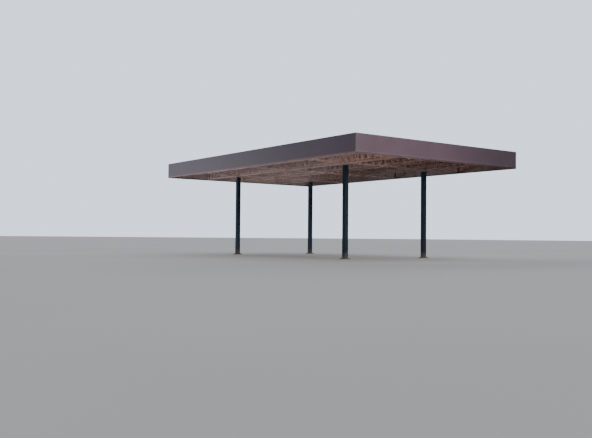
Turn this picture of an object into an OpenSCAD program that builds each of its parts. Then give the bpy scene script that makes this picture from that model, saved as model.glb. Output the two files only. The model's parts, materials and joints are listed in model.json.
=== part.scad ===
// Filling station canopy: an open steel roof on four columns, with a band of sheet
// metal round its edge and no ceiling, so the lattice trusses show from below.
// Millimetres. The origin is the middle of the plan at floor level. X runs along the
// long side, Y along the short side, Z up. The front is the side at negative Y.

/* [Overall] */
// Length of the roof over its edge caps, along X
roof_l = 24000; // [22400:100:25000]
// Width of the roof over its edge caps, along Y
roof_w = 14800; // [13600:100:16000]
// Clear height under the edge band
clear_h = 6370; // [4800:10:7200]
// Height of the edge band, from its lower edge to its cap
fascia_h = 1140; // [1100:10:1300]
// Fall of the two roof planes to the long sides, as a slope
fall = 0.025; // [0.01:0.005:0.03]

/* [Columns] */
// Distance between the columns along X, centre to centre
col_dx = 13500; // [12600:100:14400]
// Distance between the columns along Y, centre to centre
col_dy = 7400; // [6800:100:8000]
// Outside size of the square columns
col_s = 300; // [220:10:320]
// Wall thickness of the columns
col_t = 10; // [6:1:14]
// Outer corner radius of the columns
col_r = 26; // [18:1:34]
// Side of the square base plates
base_s = 460; // [440:10:480]
// Thickness of the base plates
base_t = 25; // [16:1:40]
// Diameter of the anchor holes in the base plates
anchor_d = 30; // [20:1:36]
// How far the head plates stand out past the column's faces
head_out = 14; // [8:1:25]
// Thickness of the head plates
head_t = 20; // [12:1:30]
// Height of the bearings between the head plates and the trusses
bearing_h = 120; // [90:5:160]
// Side of the square concrete footings
pad_s = 560; // [500:10:700]
// Height of the concrete footings above the floor
pad_h = 35; // [25:5:150]

/* [Trusses] */
// Depth and width of the truss chords
chord = 80; // [60:5:100]
// Width of the truss web bars
web = 46; // [32:2:48]
// Depth and width of the light cross trusses' chords
light_chord = 60; // [50:5:70]
// Width of the light cross trusses' web bars
light_web = 36; // [26:2:38]
// Height of the light cross trusses' underside over the column trusses'
light_lift = 400; // [300:10:430]
// Height of the middle long truss's underside over the column trusses'
ridge_lift = 148; // [100:2:200]
// Zigzag panels of a long truss between two columns
panels_x = 24; // [24:2:28]
// Height of the chords' underside over the lower edge of the edge band
chord_lift = 1; // [1:1:60]

/* [Edge band] */
// Thickness of the sheet in the edge band
skin_t = 4; // [2:1:6]
// Depth of the rails and posts behind the sheet
rail = 60; // [50:5:80]
// Width of the cap on top of the band
cap_w = 160; // [120:10:220]
// Turn-down of the cap over the outside of the band
cap_drop = 46; // [25:1:80]
// Width of the return lip under the band
lip_w = 150; // [110:10:200]
// Turn-down of the return lip's face below the band
lip_drop = 44; // [20:1:70]
// Height of the return lip's face over the band's lower edge
lip_up = 50; // [20:1:80]

/* [Roof] */
// Height of the purlins
purlin_h = 80; // [60:5:90]
// Width of the purlins
purlin_w = 56; // [40:2:70]
// Distance between neighbouring ribs of the roof sheet
rib_pitch = 333; // [300:1:400]
// Height of the roof sheet's ribs
rib_h = 42; // [30:1:45]
// Thickness of the roof sheet
sheet_t = 3; // [2:1:4]
// Width of the gutters
gutter_w = 290; // [240:10:300]
// Depth of the gutters
gutter_h = 130; // [100:5:150]

/* [Hidden] */

cap_t = 3;
lip_t = 4;
// Outer face of the band's sheet, and inner face of the frame behind it
ox = roof_l/2 - cap_t;
oy = roof_w/2 - cap_t;
ix = ox - skin_t - rail;
iy = oy - skin_t - rail;
// Heights
z_chord = clear_h + chord_lift;
z_ridge = clear_h + fascia_h - 170;
z_cap = clear_h + fascia_h;
slope_a = atan(fall);
function ztop(y) = z_ridge - fall*abs(y);
// Zigzag panels along X: whole panels out to the last cross truss, then an end panel
px = col_dx/panels_x;
cant = floor((roof_l/2 - col_dx/2 - 500)/px);
x_nodes = concat([-ix], [for (i = [-panels_x/2 - cant : panels_x/2 + cant]) i*px], [ix]);
// Cross trusses, as panel numbers from the middle
bay_at = [round(panels_x/6), round(panels_x/3)];
col_at = panels_x/2;
end_at = [col_at + round(cant/2), col_at + cant];
cross_at = concat([0], [for (k = concat(bay_at, [col_at], end_at), s = [-1, 1]) s*k*px]);
// Each cross truss is in four lengths, between the long trusses
y_main = col_dy/2;
seg_panels = 6;

steel = [0.45, 0.35, 0.30];
bearing_paint = [0.40, 0.30, 0.26];
band_paint = [0.46, 0.42, 0.46];
column_paint = [0.09, 0.13, 0.16];
trim_paint = [0.50, 0.42, 0.43];
sheet_paint = [0.45, 0.36, 0.31];
zinc = [0.58, 0.60, 0.61];
concrete = [0.60, 0.57, 0.53];

// Part of polygon p on the side of the line through o that n points to
function clip(p, o, n) = [
    for (i = [0 : len(p) - 1])
        let (a = p[i], b = p[(i + 1) % len(p)], da = (a - o)*n, db = (b - o)*n)
            each concat(da >= 0 ? [a] : [], (da >= 0) != (db >= 0) ? [a + (b - a)*da/(da - db)] : [])
];
function evenly(a, b, n) = [for (i = [0 : n]) a + (b - a)*i/n];
function between(a, b, t) = a + (b - a)*t;
// Point k of a zigzag that starts on the lower chord at u[0] and meets the upper chord
// halfway between two points of u
function zig_x(u, k) = k % 2 == 0 ? u[k/2] : (u[(k-1)/2] + u[(k+1)/2])/2;
function top_at(u, zt, k) = k % 2 == 0 ? zt[k/2] : (zt[(k-1)/2] + zt[(k+1)/2])/2;
function zig(u, zb, zt, c, k) = [zig_x(u, k), k % 2 == 0 ? zb + c/2 : top_at(u, zt, k) - c/2];
// Part of polygon q above (side 1) or below (side -1) the bar of width w from a to b
function beside(q, a, b, w, side) =
    let (d = (b - a)/norm(b - a), n = side*[-d[1], d[0]]) clip(q, a + n*w/2, n);
// Clear space between the chords from x = l to x = r, around point k of the zigzag
function clear_quad(u, zb, zt, c, k, l, r) =
    let (n = 2*(len(u) - 1), i = max(k - 1, 0), j = min(k + 1, n),
         xi = zig_x(u, i), xj = zig_x(u, j), zi = top_at(u, zt, i) - c, zj = top_at(u, zt, j) - c)
        [[l, zb + c], [r, zb + c], [r, between(zi, zj, (r - xi)/(xj - xi))],
         [l, between(zi, zj, (l - xi)/(xj - xi))]];
// The triangular opening at point k, in one piece, or in two beside an upright
function opening(u, zb, zt, c, w, k, upright) =
    let (n = 2*(len(u) - 1), side = k % 2 == 0 ? 1 : -1, x = zig_x(u, k),
         l = k == 0 ? u[0] + w : max(zig_x(u, k - 1), u[0] + w),
         r = k == n ? u[n/2] - w : min(zig_x(u, k + 1), u[n/2] - w),
         spans = upright ? [[l, x - w/2], [x + w/2, r]] : [[l, r]])
        [for (s = spans)
            let (q = clear_quad(u, zb, zt, c, k, s[0], s[1]),
                 p = k == 0 ? q : beside(q, zig(u, zb, zt, c, k - 1), zig(u, zb, zt, c, k), w, side),
                 o = k == n ? p : beside(p, zig(u, zb, zt, c, k), zig(u, zb, zt, c, k + 1), w, side))
                if (len(o) >= 3) o];
function starts(lists, i = 0, at = 0) =
    i >= len(lists) ? [] : concat([at], starts(lists, i + 1, at + len(lists[i])));
// One outline with openings
module pierced(outline, holes) {
    rings = concat([outline], holes);
    s = starts(rings);
    polygon(points = [for (r = rings) each r],
            paths = [for (i = [0 : len(rings) - 1]) [for (j = [0 : len(rings[i]) - 1]) s[i] + j]]);
}
function top_edge(u, zt) = [for (i = [0 : len(u) - 1]) [u[i], zt[i]]];
function backwards(a) = [for (i = [len(a) - 1 : -1 : 0]) a[i]];

// Lattice truss drawn in the plane of its length and its height: two chords of depth c
// and a zigzag of bars of width w, all fused where they meet.
// u: points where the zigzag meets the lower chord, zb: underside of the lower chord,
// zt: top of the upper chord at each point, up: distances at which an upright stands too,
// reach: how far the lower chord runs past each end
module lattice(u, zb, zt, c = chord, w = web, up = [], reach = [0, 0]) {
    n = len(u) - 1;
    translate([0, 0, -w/2]) linear_extrude(w)
        pierced(concat([[u[0], zb + c/2], [u[n], zb + c/2]],
                       backwards(top_edge(u, [for (z = zt) z - c/2]))),
                [for (k = [0 : 2*n])
                    each opening(u, zb, zt, c, w, k,
                                 k > 0 && k < 2*n && k % 2 == 0
                                 && len([for (p = up) if (abs(p - u[k/2]) < 1) 1]) > 0)]);
    translate([0, 0, -c/2]) linear_extrude(c) {
        translate([u[0] - reach[0], zb]) square([u[n] - u[0] + reach[0] + reach[1], c]);
        polygon(concat(top_edge(u, [for (z = zt) z - c]), backwards(top_edge(u, zt))));
    }
}
// Ladder of two rails and posts at the points u
module ladder(u, zb, zt, c, w) {
    n = len(u) - 1;
    linear_extrude(rail)
        pierced([[u[0], zb], [u[n], zb], [u[n], zt], [u[0], zt]],
                [for (i = [0 : n - 1])
                    let (l = u[i] + (i == 0 ? w : w/2), r = u[i+1] - (i == n - 1 ? w : w/2))
                        [[l, zb + c], [r, zb + c], [r, zt - c], [l, zt - c]]]);
}
// Stands a drawing upright along X, its thickness about y
module along_x(y) translate([0, y, 0]) rotate([90, 0, 0]) children();
// Stands a drawing upright along Y, its thickness about x
module along_y(x) translate([x, 0, 0]) rotate([90, 0, 90]) children();

module long_truss(y, lift = 0)
    along_x(y) lattice(x_nodes, z_chord + lift, [for (x = x_nodes) ztop(y)], up = cross_at);
// Middle long truss, less deep, on short posts where the deep cross trusses meet it
module ridge_truss() {
    long_truss(0, ridge_lift);
    for (x = [-col_dx/2, 0, col_dx/2])
        translate([x - chord/2, -chord/2, z_chord]) cube([chord, chord, ridge_lift + chord/2]);
}

function seg_from(s) = s == 0 ? -iy : s == 1 ? -y_main + chord/2 : s == 2 ? chord/2 : y_main + chord/2;
function seg_to(s) = s == 0 ? -y_main - chord/2 : s == 1 ? -chord/2 : s == 2 ? y_main - chord/2 : iy;
// Cross truss as deep as the long trusses
module cross_truss(x) along_y(x) for (s = [0 : 3]) {
    u = evenly(seg_from(s), seg_to(s), seg_panels);
    lattice(u, z_chord, [for (y = u) ztop(y)]);
}
// Light cross truss, its lower chord higher up and carried by the long trusses' uprights
module light_truss(k) along_y(k*px) for (s = [0 : 3]) {
    u = evenly(seg_from(s), seg_to(s), seg_panels);
    lattice(u, z_chord + light_lift, [for (y = u) ztop(y)], light_chord, light_web,
            reach = [s == 0 ? 0 : (chord - web)/2, s == 3 ? 0 : (chord - web)/2]);
}

module rounded_square(s, r) {
    square([s - 2*r, s], center = true);
    square([s, s - 2*r], center = true);
    for (i = [-1, 1], j = [-1, 1]) translate([i*(s/2 - r), j*(s/2 - r)]) circle(r = r, $fn = 48);
}
// Triangular stiffener against a column face, standing on z = 0 with its foot reaching out
module stiffener(reach, tall) rotate([90, 0, 0]) translate([0, 0, -6]) linear_extrude(12)
    polygon([[0, 0], [reach, 0], [reach, 20], [20, tall], [0, tall]]);

module footing(sx, sy) color(concrete)
    translate([sx*col_dx/2 - pad_s/2, sy*col_dy/2 - pad_s/2, 0]) cube([pad_s, pad_s, pad_h]);

// Box column with its base plate and head plate welded on
module column(sx, sy) color(column_paint) translate([sx*col_dx/2, sy*col_dy/2, 0]) {
    z0 = pad_h + base_t;
    z1 = z_chord - bearing_h - head_t;
    translate([0, 0, z0]) linear_extrude(z1 - z0) difference() {
        rounded_square(col_s, col_r);
        rounded_square(col_s - 2*col_t, col_r - col_t);
    }
    difference() {
        translate([-base_s/2, -base_s/2, pad_h]) cube([base_s, base_s, base_t]);
        for (i = [-1, 1], j = [-1, 1]) translate([i*(base_s/2 - 36), j*(base_s/2 - 36), pad_h - 1])
            cylinder(h = base_t + 2, d = anchor_d, $fn = 32);
    }
    translate([-col_s/2 - head_out, -col_s/2 - head_out, z1])
        cube([col_s + 2*head_out, col_s + 2*head_out, head_t]);
    for (a = [0 : 90 : 270]) rotate([0, 0, a])
        translate([col_s/2, 0, z0]) stiffener(base_s/2 - col_s/2 - 12, 120);
}
// Bearing on a column's head: a foot plate, two crossed webs that narrow upwards, a seat plate
module bearing(sx, sy) translate([sx*col_dx/2, sy*col_dy/2, z_chord - bearing_h]) {
    f = col_s - 10;
    translate([-f/2, -f/2, 0]) cube([f, f, 16]);
    translate([-105, -70, bearing_h - 14]) cube([210, 140, 14]);
    for (a = [0, 90]) rotate([0, 0, a]) rotate([90, 0, 0]) translate([0, 0, -8]) linear_extrude(16)
        polygon([[-f/2 + 12, 15], [f/2 - 12, 15], [a == 0 ? 95 : 62, bearing_h - 13], [a == 0 ? -95 : -62, bearing_h - 13]]);
}

// Part of a ring round the plan that belongs to one side, mitred at 45 degrees.
// q turns it: 0 front, 1 right, 2 rear, 3 left
module side_of(q) {
    a = q % 2 == 0 ? roof_l/2 : roof_w/2;
    b = q % 2 == 0 ? roof_w/2 : roof_l/2;
    intersection() {
        children();
        rotate([0, 0, 90*q]) linear_extrude(z_cap + 400)
            polygon([[-a - 50, -b - 50], [a + 50, -b - 50], [a - 1000, -b + 1000], [-a + 1000, -b + 1000]]);
    }
}
// Flat ring with its outer edge at half sizes x and y, w wide, h high, from height z
module ring(x, y, w, z, h) translate([0, 0, z]) linear_extrude(h) difference() {
    square([2*x, 2*y], center = true);
    square([2*(x - w), 2*(y - w)], center = true);
}
module coping(q) color(band_paint) side_of(q) union() {
    ring(roof_l/2, roof_w/2, cap_w, z_cap, cap_t);
    ring(roof_l/2, roof_w/2, cap_t, z_cap - cap_drop, cap_drop + cap_t);
    ring(roof_l/2 - cap_w + cap_t, roof_w/2 - cap_w + cap_t, cap_t, z_cap - 26, 26 + cap_t);
}
module bottom_lip(q) color(trim_paint) side_of(q) union() {
    ring(roof_l/2, roof_w/2, lip_w, clear_h - lip_t, lip_t);
    ring(roof_l/2, roof_w/2, cap_t, clear_h - lip_drop, lip_drop + lip_up);
}
// Long band sheets run through, short ones fit between them
module fascia_x(s) color(band_paint)
    translate([-ox, s < 0 ? -oy : oy - skin_t, clear_h]) cube([2*ox, skin_t, fascia_h]);
module fascia_y(s) color(band_paint)
    translate([s < 0 ? -ox : ox - skin_t, -oy + skin_t, clear_h]) cube([skin_t, 2*(oy - skin_t), fascia_h]);

posts = floor((panels_x/2 + cant)/2);
frame_x = concat([-ox + skin_t], [for (i = [-posts : posts]) 2*i*px], [ox - skin_t]);
frame_y = evenly(-iy, iy, 12);
module frame_along_x(s) color(steel) along_x(s < 0 ? -iy : iy + rail)
    ladder(frame_x, clear_h + 8, z_cap - 12, 50, 50);
module frame_along_y(s) color(steel) along_y(s < 0 ? -ix - rail : ix)
    ladder(frame_y, clear_h + 8, z_cap - 12, 50, 50);

// Local frame of the front roof plane: its z = 0 lies on the trusses' upper chords
module roof_plane(s) mirror([0, s > 0 ? 1 : 0, 0]) translate([0, 0, z_ridge]) rotate([slope_a, 0, 0]) children();
purlin_at = [for (k = [0 : 6]) 150 + k*(iy - gutter_w - 150 - purlin_w/2 - 20)/6];
module purlins(s) color(steel) roof_plane(s)
    for (d = purlin_at) translate([-ix, -d - purlin_w/2, 0]) cube([2*ix, purlin_w, purlin_h]);

// Trapezoidal sheet: flat pans with ribs at every pitch, drawn across the ribs
ribs = floor((2*ix - 100)/rib_pitch);
sheet_end = ix - 12;
rib_line = concat([[-sheet_end, 0]],
    [for (k = [0 : ribs - 1]) let (x = (k - (ribs - 1)/2)*rib_pitch)
        each [[x - 55, 0], [x - 25, rib_h - sheet_t], [x + 25, rib_h - sheet_t], [x + 55, 0]]],
    [[sheet_end, 0]]);
module roof_sheet(s) color(sheet_paint) roof_plane(s)
    translate([0, -20, purlin_h]) rotate([90, 0, 0]) linear_extrude(iy - gutter_w + 40 - 20)
        polygon(concat(rib_line, [for (p = backwards(rib_line)) [p[0], p[1] + sheet_t]]));
module ridge_cap() color(sheet_paint) {
    zu = z_ridge + (purlin_h + rib_h)/cos(slope_a) + 0.2;
    w = 230;
    translate([-sheet_end, 0, 0]) rotate([90, 0, 90]) linear_extrude(2*sheet_end)
        polygon([[-w, zu - fall*w], [0, zu], [w, zu - fall*w], [w, zu - fall*w + 3], [0, zu + 3], [-w, zu - fall*w + 3]]);
}
// Box gutter on the ends of the cross trusses, closed at both ends
module gutter(s) color(zinc) mirror([0, s > 0 ? 1 : 0, 0])
    translate([-ix, -iy, ztop(iy - gutter_w) + 0.5]) difference() {
        cube([2*ix, gutter_w, gutter_h]);
        translate([3, 3, 3]) cube([2*ix - 6, gutter_w - 6, gutter_h]);
    }

footing(-1, -1);  // footing_front_left
footing(1, -1);  // footing_front_right
footing(-1, 1);  // footing_rear_left
footing(1, 1);  // footing_rear_right
column(-1, -1);  // column_front_left
column(1, -1);  // column_front_right
column(-1, 1);  // column_rear_left
column(1, 1);  // column_rear_right
color(bearing_paint) for (i = [-1, 1], j = [-1, 1]) bearing(i, j);  // truss_bearings
color(steel) long_truss(-y_main);  // main_truss_front
color(steel) long_truss(y_main);  // main_truss_rear
color(steel) ridge_truss();
color(steel) cross_truss(-col_dx/2);  // column_cross_truss_left
color(steel) cross_truss(col_dx/2);  // column_cross_truss_right
color(steel) for (k = end_at) light_truss(-k);  // cross_trusses_left_end
color(steel) for (k = bay_at) light_truss(-k);  // cross_trusses_left_bay
color(steel) cross_truss(0);  // cross_truss_middle
color(steel) for (k = bay_at) light_truss(k);  // cross_trusses_right_bay
color(steel) for (k = end_at) light_truss(k);  // cross_trusses_right_end
frame_along_x(-1);  // fascia_frame_front
frame_along_x(1);  // fascia_frame_rear
frame_along_y(-1);  // fascia_frame_left
frame_along_y(1);  // fascia_frame_right
fascia_x(-1);  // fascia_front
fascia_x(1);  // fascia_rear
fascia_y(-1);  // fascia_left
fascia_y(1);  // fascia_right
coping(0);  // coping_front
coping(2);  // coping_rear
coping(3);  // coping_left
coping(1);  // coping_right
bottom_lip(0);  // bottom_lip_front
bottom_lip(2);  // bottom_lip_rear
bottom_lip(3);  // bottom_lip_left
bottom_lip(1);  // bottom_lip_right
purlins(-1);  // purlins_front
purlins(1);  // purlins_rear
roof_sheet(-1);  // roof_sheet_front
roof_sheet(1);  // roof_sheet_rear
ridge_cap();
gutter(-1);  // gutter_front
gutter(1);  // gutter_rear
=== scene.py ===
import json
import math
import random

import bmesh
import bpy
from mathutils import Matrix, Vector


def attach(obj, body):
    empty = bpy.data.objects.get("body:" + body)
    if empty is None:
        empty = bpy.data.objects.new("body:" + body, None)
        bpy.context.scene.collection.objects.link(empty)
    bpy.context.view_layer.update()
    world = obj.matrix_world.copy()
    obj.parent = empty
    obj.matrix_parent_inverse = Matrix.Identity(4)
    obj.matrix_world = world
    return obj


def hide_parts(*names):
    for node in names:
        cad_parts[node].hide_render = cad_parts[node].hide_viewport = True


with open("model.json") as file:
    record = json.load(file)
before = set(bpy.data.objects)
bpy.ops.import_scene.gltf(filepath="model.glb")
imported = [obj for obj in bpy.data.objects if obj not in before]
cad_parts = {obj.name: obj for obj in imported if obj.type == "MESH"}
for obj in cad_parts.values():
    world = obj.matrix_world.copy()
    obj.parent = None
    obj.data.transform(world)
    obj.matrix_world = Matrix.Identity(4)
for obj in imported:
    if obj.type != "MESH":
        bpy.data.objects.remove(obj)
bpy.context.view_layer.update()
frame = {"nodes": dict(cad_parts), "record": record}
NODES = frame["nodes"]
random.seed(5)

# ---------------------------------------------------------------- camera
# The view of the photograph, solved from the roof's corners and the columns.
RIGHT = Vector((0.59233111, 0.80564895, 0.00858022))
UP = Vector((0.0152768, -0.02187813, 0.99964392))
FWD = Vector((-0.8055498, 0.59198911, 0.02526683))
cam_data = bpy.data.cameras.new("view")
cam = bpy.data.objects.new("view", cam_data)
bpy.context.scene.collection.objects.link(cam)
cam_data.sensor_fit = "HORIZONTAL"
cam_data.sensor_width = 36.0
cam_data.lens = 723.32 * 36.0 / 592.0
cam_data.clip_start, cam_data.clip_end = 0.1, 2000.0
rot = Matrix((RIGHT, UP, -FWD)).transposed()
cam.matrix_world = Matrix.Translation((43.482, -34.752, 1.431)) @ rot.to_4x4()
bpy.context.scene.camera = cam

# ---------------------------------------------------------------- sizes, in metres
COL_X, COL_Y = 6.75, 3.70
COL_S, COL_R, BASE_S, PAD_S = 0.300, 0.026, 0.460, 0.560
Z_PAD, Z_BASE, Z_HEAD = 0.035, 0.060, 6.231      # tops of footing and base plate, underside of head plate
PX = 0.5625
IX, IY = 11.933, 7.333          # inner faces of the frames behind the band
OX, OY = 11.997, 7.397          # outer faces of the band's sheet
CHORD, WEB = 0.080, 0.046
L_CHORD, L_WEB, Z_LIGHT = 0.060, 0.036, 6.771
Z_CHORD, Z_MIDDLE, Z_RIDGE, FALL = 6.371, 6.519, 7.340, 0.025
Z_BAND, Z_CAP = 6.370, 7.510
CROSS_X = [k * 4 * PX for k in range(-5, 6)]
DEEP_X = (-COL_X, 0.0, COL_X)


PURLINS = [0.150 + k * 1.1408333 for k in range(7)]
RIBS = [(k - 35) * 0.333 for k in range(71)]
X_NODES = [-IX] + [k * PX for k in range(-20, 21)] + [IX]
SEGMENTS = ((-IY, -3.74), (-3.66, -0.04), (0.04, 3.66), (3.74, IY))
SLOPE = math.atan(FALL)


def ztop(y):
    return Z_RIDGE - FALL * abs(y)


def roof_axes(s):
    """Origin and axes of a roof plane: along the ridge, down the slope, off the surface."""
    return (Vector((0, 0, Z_RIDGE)), Vector((1, 0, 0)),
            Vector((0, s * math.cos(SLOPE), -math.sin(SLOPE))),
            Vector((0, s * math.sin(SLOPE), math.cos(SLOPE))))


# ---------------------------------------------------------------- node helpers
class Nodes:
    """A material's node tree, with short calls for the nodes used here."""

    def __init__(self, name):
        self.mat = bpy.data.materials.new(name)
        self.mat.use_nodes = True
        self.nt = self.mat.node_tree
        self.nt.nodes.clear()
        self.out = self.nt.nodes.new("ShaderNodeOutputMaterial")
        self.bsdf = self.nt.nodes.new("ShaderNodeBsdfPrincipled")
        self.nt.links.new(self.bsdf.outputs[0], self.out.inputs[0])
        self.co = self.nt.nodes.new("ShaderNodeTexCoord").outputs["Object"]
        self.geo = self.nt.nodes.new("ShaderNodeNewGeometry")
        self.xyz = self.split(self.co)
        self.nrm = self.split(self.geo.outputs["Normal"])

    def put(self, socket, value):
        if hasattr(value, "is_output") or isinstance(value, bpy.types.NodeSocket):
            self.nt.links.new(value, socket)
        elif isinstance(value, (tuple, list)) and len(value) == 3 and socket.type == "RGBA":
            socket.default_value = (*value, 1.0)
        else:
            socket.default_value = value

    def split(self, v):
        n = self.nt.nodes.new("ShaderNodeSeparateXYZ")
        self.put(n.inputs[0], v)
        return n.outputs

    def scaled(self, scale, offset=(0, 0, 0)):
        n = self.nt.nodes.new("ShaderNodeMapping")
        self.put(n.inputs["Vector"], self.co)
        n.inputs["Scale"].default_value = scale
        n.inputs["Location"].default_value = offset
        return n.outputs[0]

    def noise(self, scale=1.0, detail=4.0, rough=0.55, vec=None, distortion=0.0):
        n = self.nt.nodes.new("ShaderNodeTexNoise")
        self.put(n.inputs["Vector"], vec if vec is not None else self.co)
        n.inputs["Scale"].default_value = scale
        n.inputs["Detail"].default_value = detail
        n.inputs["Roughness"].default_value = rough
        n.inputs["Distortion"].default_value = distortion
        return n.outputs[0]

    def voronoi(self, scale, vec=None, out="Distance", feature="F1"):
        n = self.nt.nodes.new("ShaderNodeTexVoronoi")
        n.feature = feature
        self.put(n.inputs["Vector"], vec if vec is not None else self.co)
        n.inputs["Scale"].default_value = scale
        return n.outputs[out]

    def math(self, op, a, b=0.0, c=None, clamp=False):
        n = self.nt.nodes.new("ShaderNodeMath")
        n.operation = op
        n.use_clamp = clamp
        self.put(n.inputs[0], a)
        self.put(n.inputs[1], b)
        if c is not None:
            self.put(n.inputs[2], c)
        return n.outputs[0]

    def remap(self, v, a, b, c=0.0, d=1.0, smooth=False):
        n = self.nt.nodes.new("ShaderNodeMapRange")
        n.interpolation_type = "SMOOTHSTEP" if smooth else "LINEAR"
        n.clamp = True
        self.put(n.inputs[0], v)
        for i, x in enumerate((a, b, c, d)):
            n.inputs[i + 1].default_value = x
        return n.outputs[0]

    def mix(self, fac, a, b, kind="MIX"):
        n = self.nt.nodes.new("ShaderNodeMix")
        n.data_type = "RGBA"
        n.blend_type = kind
        n.clamp_factor = True
        self.put(n.inputs[0], fac)
        self.put(n.inputs[6], a)
        self.put(n.inputs[7], b)
        return n.outputs[2]

    def painted_shade_zone(self, low=-0.5, high=3.0, ragged=2.0):
        """Mask for painted shade: 0 over the front and left of the roof, 1 over the rear and right, with a ragged
        edge.
        """
        t = self.math("ADD", self.xyz[1], self.math("MULTIPLY", self.xyz[0], 0.45))
        edge = self.math("MULTIPLY", self.math("SUBTRACT", self.noise(0.6, 3, 0.6), 0.5), ragged)
        return self.remap(self.math("ADD", t, edge), low, high, 0.0, 1.0, True)

    def shade(self, colour, fac):
        """colour times fac"""
        n = self.nt.nodes.new("ShaderNodeVectorMath")
        n.operation = "SCALE"
        self.put(n.inputs[0], colour)
        self.put(n.inputs[3], fac)
        return n.outputs[0]

    def bump(self, height, strength=0.3, distance=0.002, normal=None):
        n = self.nt.nodes.new("ShaderNodeBump")
        n.inputs["Strength"].default_value = strength
        n.inputs["Distance"].default_value = distance
        self.put(n.inputs["Height"], height)
        if normal is not None:
            self.put(n.inputs["Normal"], normal)
        return n.outputs[0]

    def set(self, **kw):
        names = dict(color="Base Color", rough="Roughness", metal="Metallic", normal="Normal",
                     coat="Coat Weight", coat_rough="Coat Roughness", spec="Specular IOR Level")
        for k, v in kw.items():
            self.put(self.bsdf.inputs[names[k]], v)
        return self.mat


def primer(name, base, dusty, rust, seed=0.0, rough=(0.55, 0.85), worn=None,
           warm=(0.65, 0.365, 0.285), left=1.0, chord=(6.46, 1.0)):
    """Matt red-brown primer: blotches, dust on what faces up, small rust spots.
    worn: the darker colour over the rear of the roof as painted shade; with it come a red coat towards the right end
    and painted shade over the right half, deepest high up; left: how much lighter the left half is, as painted light;
    chord: height below which a lower chord lies, and the factor on its colour against its web: painted light above 1,
    painted shade below 1."""
    m = Nodes(name)
    x, y, z = m.xyz
    half = m.remap(x, -10.0, 0.0, 0.0, 1.0, True)
    off = m.scaled((1, 1, 1), (seed, seed * 0.7, seed * 1.3))
    big = m.noise(0.45, 5, 0.6, off)
    mid = m.noise(3.2, 5, 0.65, off)
    fine = m.noise(38.0, 3, 0.6, off)
    c = m.mix(m.remap(big, 0.35, 0.68), base, dusty)
    if worn is not None:
        # painted shade: darker over the rear; towards the right end the old red coat shows, strongest near the front
        # and darkening towards the rear as painted shade
        right = m.remap(x, 4.0, 9.0, 0.0, 1.0, True)
        red = m.mix(m.remap(y, -2.5, 1.5, 0.0, 1.0, True), warm, m.shade(warm, 0.43))
        c = m.mix(m.math("MULTIPLY", m.painted_shade_zone(), 0.9), c, m.mix(m.remap(big, 0.3, 0.7), worn, m.shade(worn, 1.25)))
        c = m.mix(m.math("MULTIPLY", right, m.remap(m.noise(1.1, 4, 0.6, off), 0.3, 0.6, 0.35, 0.95)), c, red)
        # painted shade over the right half: darker overall and darkest high up under the roof sheets, so the lower
        # chords stay lighter
        painted_shade_high = m.math("MULTIPLY", m.math("SUBTRACT", m.remap(z, 6.44, 6.80, 0.95, 0.78, True), 0.88), half)
        c = m.shade(c, m.math("ADD", painted_shade_high, m.remap(half, 0.0, 1.0, 1.02, 0.78)))
    # painted light: the left half lighter by the factor left
    c = m.shade(c, m.remap(half, 0.0, 1.0, left, 1.0))
    # painted light and shade: the lower chords lighter or darker than their webs by the factor chord[1]
    if chord[1] != 1.0:
        c = m.shade(c, m.remap(z, chord[0] - 0.02, chord[0] + 0.03, chord[1], 1.0))
    c = m.mix(m.remap(mid, 0.50, 0.70, 0.0, 0.8), c, m.shade(c, 0.52))
    spots = m.math("MULTIPLY", m.remap(m.noise(9.0, 6, 0.7, off), 0.60, 0.68),
                   m.remap(big, 0.30, 0.60))
    c = m.mix(m.math("MULTIPLY", spots, 0.75), c, rust)
    up = m.remap(m.nrm[2], 0.55, 0.95)
    c = m.mix(m.math("MULTIPLY", up, m.remap(mid, 0.25, 0.75, 0.35, 0.8)), c, (0.30, 0.25, 0.21))
    r = m.math("ADD", m.remap(mid, 0.3, 0.7, *rough), m.math("MULTIPLY", spots, 0.1), clamp=True)
    b = m.bump(m.math("ADD", m.math("MULTIPLY", fine, 0.5), spots), 0.35, 0.002)
    return m.set(color=c, rough=r, normal=b)


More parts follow.
